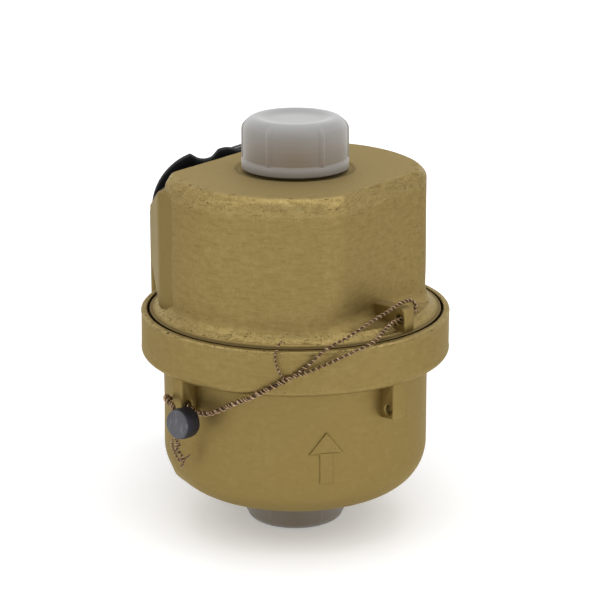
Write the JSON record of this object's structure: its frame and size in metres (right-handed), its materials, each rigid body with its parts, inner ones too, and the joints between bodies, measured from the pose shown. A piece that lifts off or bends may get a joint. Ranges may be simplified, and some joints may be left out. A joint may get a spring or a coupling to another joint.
{
  "type": "water meter",
  "caption": "In-line water meter: two screwed brass casings with capped pipe threads, a sealed union ring, a rotary piston inside and a lidded black register at the back.",
  "frame": {"origin": "centre of the inlet spigot's end face, on the pipe axis", "axes": "+Z along the pipe from inlet to outlet, +Y to the back where the register is, +X to the right seen from the front"},
  "size_m": [0.09, 0.1291, 0.1196],
  "materials": {
    "brass": "sand-blasted casting, satin",
    "gasket_rubber": "matte",
    "milky_cap": "milky translucent",
    "inner_plastic": "moulded",
    "piston_plastic": "moulded",
    "steel": "turned",
    "magnet": "sintered",
    "seal_wire": "twisted copper",
    "seal_lead": "pressed lead",
    "register_black": "moulded",
    "number_white": "moulded",
    "dial_white": "printed",
    "clear_glass": "clear"
  },
  "bodies": {
    "meter_body": {"lower_casing": "brass", "upper_casing": "brass", "casing_gasket": "gasket_rubber", "inlet_strainer": "inner_plastic", "measuring_chamber": "inner_plastic", "partition_plate": "steel", "chamber_cover": "inner_plastic", "cover_seal": "gasket_rubber", "seal_wire": "seal_wire", "lead_seal": "seal_lead", "register_gasket": "gasket_rubber", "register_housing": "register_black", "register_screws": "steel", "movement_frame": "inner_plastic", "number_axle": "steel", "dial_plate": "dial_white", "glass_seal": "gasket_rubber", "register_glass": "clear_glass", "register_bezel": "register_black", "lid_hinge_pin": "steel"},
    "inlet_cap_body": {"inlet_cap": "milky_cap"},
    "outlet_cap_body": {"outlet_cap": "milky_cap"},
    "crank_body": {"drive_crank": "steel", "drive_magnet": "magnet"},
    "piston_body": {"rotary_piston": "piston_plastic"},
    "follower_body": {"follower_arbor": "steel", "follower_magnet": "magnet"},
    "transfer_body": {"transfer_arbor": "inner_plastic"},
    "idler_body": {"idler_gear": "inner_plastic"},
    "lid_body": {"register_lid": "register_black"},
    "number_wheel_1_body": {"number_wheel_1": "number_white"},
    "number_wheel_2_body": {"number_wheel_2": "number_white"},
    "number_wheel_3_body": {"number_wheel_3": "number_white"},
    "number_wheel_4_body": {"number_wheel_4": "number_white"},
    "number_wheel_5_body": {"number_wheel_5": "number_white"},
    "number_wheel_6_body": {"number_wheel_6": "number_white"}
  },
  "joints": [
    {"name": "inlet_cap_off", "type": "slide", "parent": "meter_body", "child": "inlet_cap_body", "axis": [0, 0, -1], "range_m": [0, 0.06]},
    {"name": "outlet_cap_off", "type": "slide", "parent": "meter_body", "child": "outlet_cap_body", "axis": [0, 0, 1], "range_m": [0, 0.06]},
    {"name": "crank_spin", "type": "hinge", "parent": "meter_body", "child": "crank_body", "pos_m": [0, 0, 0.045], "axis": [0, 0, 1], "continuous": true},
    {"name": "piston_turn", "type": "hinge", "parent": "crank_body", "child": "piston_body", "pos_m": [0.006, 0, 0.045], "axis": [0, 0, 1], "continuous": true},
    {"name": "follower_spin", "type": "hinge", "parent": "meter_body", "child": "follower_body", "pos_m": [-0.00348, 0.03312, 0.0797], "axis": [0, 0, 1], "continuous": true},
    {"name": "transfer_spin", "type": "hinge", "parent": "meter_body", "child": "transfer_body", "pos_m": [-0.00442, 0.04207, 0.0797], "axis": [0, 0, 1], "continuous": true},
    {"name": "idler_spin", "type": "hinge", "parent": "meter_body", "child": "idler_body", "pos_m": [-0.00167, 0.04958, 0.0797], "axis": [0, 0, 1], "continuous": true},
    {"name": "number_wheel_1_spin", "type": "hinge", "parent": "meter_body", "child": "number_wheel_1_body", "pos_m": [-0.00626, 0.05957, 0.0575], "axis": [0, 0, 1], "continuous": true},
    {"name": "number_wheel_2_spin", "type": "hinge", "parent": "meter_body", "child": "number_wheel_2_body", "pos_m": [-0.00626, 0.05957, 0.0575], "axis": [0, 0, 1], "continuous": true},
    {"name": "number_wheel_3_spin", "type": "hinge", "parent": "meter_body", "child": "number_wheel_3_body", "pos_m": [-0.00626, 0.05957, 0.0575], "axis": [0, 0, 1], "continuous": true},
    {"name": "number_wheel_4_spin", "type": "hinge", "parent": "meter_body", "child": "number_wheel_4_body", "pos_m": [-0.00626, 0.05957, 0.0575], "axis": [0, 0, 1], "continuous": true},
    {"name": "number_wheel_5_spin", "type": "hinge", "parent": "meter_body", "child": "number_wheel_5_body", "pos_m": [-0.00626, 0.05957, 0.0575], "axis": [0, 0, 1], "continuous": true},
    {"name": "number_wheel_6_spin", "type": "hinge", "parent": "meter_body", "child": "number_wheel_6_body", "pos_m": [-0.00626, 0.05957, 0.0575], "axis": [0, 0, 1], "continuous": true},
    {"name": "lid_open", "type": "hinge", "parent": "meter_body", "child": "lid_body", "pos_m": [0.03018, 0.08019, 0.0575], "axis": [0, 0, -1], "range_deg": [0, 110]}
  ],
  "couplings": [
    {"joint": "piston_turn", "follows": "crank_spin", "ratio": -1},
    {"joint": "follower_spin", "follows": "crank_spin", "ratio": -1},
    {"joint": "transfer_spin", "follows": "crank_spin", "ratio": 0.38462},
    {"joint": "idler_spin", "follows": "crank_spin", "ratio": -0.23077},
    {"joint": "number_wheel_1_spin", "follows": "crank_spin", "ratio": 0.19231},
    {"joint": "number_wheel_2_spin", "follows": "crank_spin", "ratio": 0.019231},
    {"joint": "number_wheel_3_spin", "follows": "crank_spin", "ratio": 0.0019231},
    {"joint": "number_wheel_4_spin", "follows": "crank_spin", "ratio": 0.00019231},
    {"joint": "number_wheel_5_spin", "follows": "crank_spin", "ratio": 0.000019231},
    {"joint": "number_wheel_6_spin", "follows": "crank_spin", "ratio": 0.0000019231}
  ]
}
